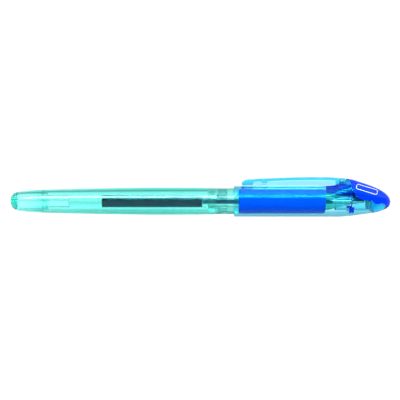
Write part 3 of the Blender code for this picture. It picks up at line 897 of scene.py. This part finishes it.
def make_inner_cap():
    flange_radius, flange_length = 3.88, 0.95
    profile = [
        (INNER_END, 0),
        (INNER_END, flange_radius),
        (INNER_END - flange_length, flange_radius),
        (INNER_END - flange_length, INNER_CAP_RADIUS),
        (INNER_MOUTH, INNER_CAP_RADIUS),
        (INNER_MOUTH, INNER_BORE_RADIUS + 0.2),
        (INNER_MOUTH + 0.5, INNER_BORE_RADIUS),
        (SEAL_FRONT + GAP, INNER_BORE_RADIUS),
        (SEAL_FRONT + GAP, 0),
    ]
    dress(lathe("inner_sleeve", profile, 0.1), "cap", "cap", "cap_clear", "inner_cap")
    seal_radius = INNER_BORE_RADIUS - 0.06
    seal = [(SEAL_FRONT, 0), (SEAL_FRONT, seal_radius), (SEAL_REAR, seal_radius), (SEAL_REAR, 0)]
    dress(lathe("seal_disc", seal, 0.2), "seal", "cap", "seal_elastomer", "tip_seal")


# ---------------------------------------------------------------- clip

CLIP_TOP_LINE = [(23.0, 8.87), (29.0, 9.12), (37.0, 9.4), (44.0, 9.5), (50.5, 9.45), (CLIP_ROOT, 9.2)]


def clip_tip():
    """The free end from the side, from its top down: a drooping top and a small lower corner."""
    reach, rise, top, corner = 2.5, 1.7, 8.6, 0.6
    tip = []
    for i in range(11):
        turn = math.radians(9 * i)
        tip.append((CLIP_FREE_END + reach - reach * math.sin(turn), top - rise + rise * math.cos(turn)))
    for i in range(1, 7):
        turn = math.radians(15 * i)
        x = CLIP_FREE_END + corner - corner * math.cos(turn)
        tip.append((x, CLIP_BOTTOM + corner - corner * math.sin(turn)))
    return tip


def make_clip():
    top = smooth_line(CLIP_TOP_LINE, 1.5)
    outline = [*top[::-1], *clip_tip(), (CLIP_ROOT, CLIP_BOTTOM)]
    clip = soften(slab("clip_arm", outline, CLIP_HALF_WIDTH), 0.45, 4, 50)
    side_wall, top_wall, channel_front = 0.9, 1.1, 53.3
    room = CLIP_HALF_WIDTH - side_wall
    roof = [(x, height - top_wall) for x, height in top if 22 < x < channel_front]
    channel_rear = [(20.6, 4), (20.6, 7.0), (20.8, 7.4), (21.2, 7.7)]
    channel = [*channel_rear, *roof, (channel_front, 8.1), (channel_front, 4)]
    room_shape = slab("channel", channel, room)
    rib = block("rib", (24.2, -room - 0.1, 7.15), (26.2, room + 0.1, 10))
    combine(room_shape, rib, "DIFFERENCE")
    combine(clip, room_shape, "DIFFERENCE")
    dress(clip, "cap", "clip", "cap_clear", "pocket_clip")


# ---------------------------------------------------------------- plain printed marks


def crown_side(x, height):
    """How far out the crown's surface is at x and at a height above the nose's middle."""
    half_width, top, _, middle, fullness = nose_section(x)
    share = min(0.999, max(0.0, (height - middle) / (top - middle)))
    return half_width * (1 - share**fullness) ** (1 / fullness)


def printed_line(name, points, width, side):
    """A thin flat closed line of print, just proud of the crown, along (x, height) points."""
    lift = 0.012
    rows = []
    for i, (x, height) in enumerate(points):
        before = Vector(points[i - 1])
        after = Vector(points[(i + 1) % len(points)])
        across = Vector((-(after - before).y, (after - before).x)).normalized() * width / 2
        ring = []
        for offset, out in ((1, -lift), (1, lift), (-1, lift), (-1, -lift)):
            px, pz = x + across.x * offset, height + across.y * offset
            ring.append(at(px, side * (crown_side(px, pz) + out), pz))
        rows.append(ring)
    return loft(name, rows, loop=True)


def rounded_frame(half_length, half_height, corner):
    """Points round a rectangle with rounded corners, with more points along its sides."""
    arcs = []
    for i, (end, edge) in enumerate(((1, 1), (-1, 1), (-1, -1), (1, -1))):
        middle = Vector((end * (half_length - corner), edge * (half_height - corner)))
        turns = [math.radians(90 * i + 22.5 * k) for k in range(5)]
        arcs.append([middle + Vector((math.cos(turn), math.sin(turn))) * corner for turn in turns])
    points = []
    for arc, following in zip(arcs, arcs[1:] + arcs[:1]):
        points += arc
        points += [arc[-1].lerp(following[0], k / 8) for k in range(1, 8)]
    return points


def make_marks():
    """A plain frame on each side of the crown."""
    centre, slope = Vector((65.3, 4.7)), math.radians(-17)
    lengthwise = Vector((math.cos(slope), math.sin(slope)))
    upward = Vector((-math.sin(slope), math.cos(slope)))
    points = rounded_frame(4.3, 0.95, 0.6)
    outline = [tuple(centre + lengthwise * point.x + upward * point.y) for point in points]
    for side, word in ((-1, "right"), (1, "left")):
        mark = printed_line(f"crown_frame_{word}", outline, 0.19, side)
        dress(mark, "print", "cap", "crown_blue")


# ---------------------------------------------------------------- stage, light and camera


def area_light(name, place, aim, size, power):
    """A rectangular lamp; its place, aim and size are in metres."""
    data = bpy.data.lights.new(name, "AREA")
    data.shape = "RECTANGLE"
    data.size, data.size_y = size
    data.energy = power
    lamp = bpy.data.objects.new(name, data)
    lamp.location = place
    lamp.rotation_euler = (Vector(aim) - Vector(place)).to_track_quat("-Z", "Y").to_euler()
    bpy.context.scene.collection.objects.link(lamp)


# The floor lies just below the pen, so that the two never touch
FLOOR_DROP = 0.3
FLOOR_HALF_WIDTH = 2500
FLOOR_GLOW = 0.62


def make_floor():
    """A plain pale floor that glows softly, like a light table."""
    shape = bmesh.new()
    bmesh.ops.create_grid(shape, x_segments=2, y_segments=2, size=FLOOR_HALF_WIDTH * MM)
    floor = finish_mesh("floor", shape)
    floor.location.z = -FLOOR_DROP * MM
    material, nodes, links, shader = new_material("pale_floor")
    patches = mottle(nodes, links, 3.0)
    tone = two_tone(nodes, links, patches, (0.19, 0.19, 0.19), (0.21, 0.21, 0.21))
    links.new(tone, shader.inputs["Base Color"])
    shader.inputs["Roughness"].default_value = 0.9
    shader.inputs["Specular IOR Level"].default_value = 0.1
    shader.inputs["Emission Color"].default_value = (1.0, 1.0, 1.0, 1)
    shader.inputs["Emission Strength"].default_value = FLOOR_GLOW
    floor.data.materials.append(material)


# Brightness of the studio's far and near halves, as (sine of the height, brightness) stops with the horizon
# and the zenith first. Both halves are white at the horizon. The far half has a dark band high up. The near
# half has a dark band low down, and a wide softbox above it.
FAR_SIDE = ((0.0, 1.06), (1.0, 1.3), (0.55, 1.06), (0.62, 0.5), (0.9, 0.5), (0.96, 1.3))
NEAR_SIDE = ((0.0, 1.06), (1.0, 1.3), (0.15, 1.06), (0.2, 0.15), (0.36, 0.15), (0.44, 5.0), (0.95, 5.0))
BRIGHTEST = 5.0


def brightness_ramp(nodes, links, height, stops):
    """A ramp of greys over the height; a new ramp has two elements already."""
    ramp = nodes.new("ShaderNodeValToRGB")
    elements = ramp.color_ramp.elements
    for i, (position, value) in enumerate(stops):
        element = elements[i] if i < 2 else elements.new(position)
        element.position = position
        element.color = (*(value / BRIGHTEST,) * 3, 1)
    links.new(height, ramp.inputs["Fac"])
    return ramp.outputs["Color"]


def make_world():
    """The studio round the pen: a far half, and a near half that fades in on the camera's side."""
    world = bpy.data.worlds.new("studio")
    world.use_nodes = True
    nodes, links = world.node_tree.nodes, world.node_tree.links
    place = nodes.new("ShaderNodeTexCoord")
    parts = nodes.new("ShaderNodeSeparateXYZ")
    links.new(place.outputs["Generated"], parts.inputs["Vector"])
    nearness = nodes.new("ShaderNodeMapRange")
    nearness.inputs["From Min"].default_value = -0.05
    nearness.inputs["From Max"].default_value = -0.2
    links.new(parts.outputs["Y"], nearness.inputs["Value"])
    mix = nodes.new("ShaderNodeMix")
    mix.data_type = "RGBA"
    links.new(nearness.outputs["Result"], mix.inputs["Factor"])
    links.new(brightness_ramp(nodes, links, parts.outputs["Z"], FAR_SIDE), mix.inputs["A"])
    links.new(brightness_ramp(nodes, links, parts.outputs["Z"], NEAR_SIDE), mix.inputs["B"])
    background = nodes["Background"]
    background.inputs["Strength"].default_value = BRIGHTEST
    links.new(mix.outputs["Result"], background.inputs["Color"])
    bpy.context.scene.world = world


def make_stage():
    """The floor, the studio round it, and the strip lamp whose reflection runs along the pen."""
    make_floor()
    make_world()
    area_light("front_strip", place=(0, -2.8, 2.4), aim=(0, 0, 0), size=(2.4, 1.2), power=270)
    scene = bpy.context.scene
    scene.view_settings.view_transform = "Standard"
    scene.cycles.max_bounces = 32
    scene.cycles.transmission_bounces = 32
    scene.cycles.transparent_max_bounces = 32
    scene.cycles.glossy_bounces = 12


def make_camera():
    """A long lens, level with the pen's axis and square to it, as in the photo."""
    data = bpy.data.cameras.new("camera")
    data.lens = 120
    data.sensor_width = 36
    data.clip_start = 0.01
    camera = bpy.data.objects.new("camera", data)
    bpy.context.scene.collection.objects.link(camera)
    camera.location = at(-0.3, -528, 0.5)
    camera.rotation_euler = (math.radians(90), 0, 0)
    bpy.context.scene.camera = camera


make_camera()
make_barrel()
make_tail_plug()
make_section()
make_grip()
make_nose()
make_refill()
make_point()
make_cap_shell()
make_crown()
make_inner_cap()
make_clip()
make_marks()
make_stage()
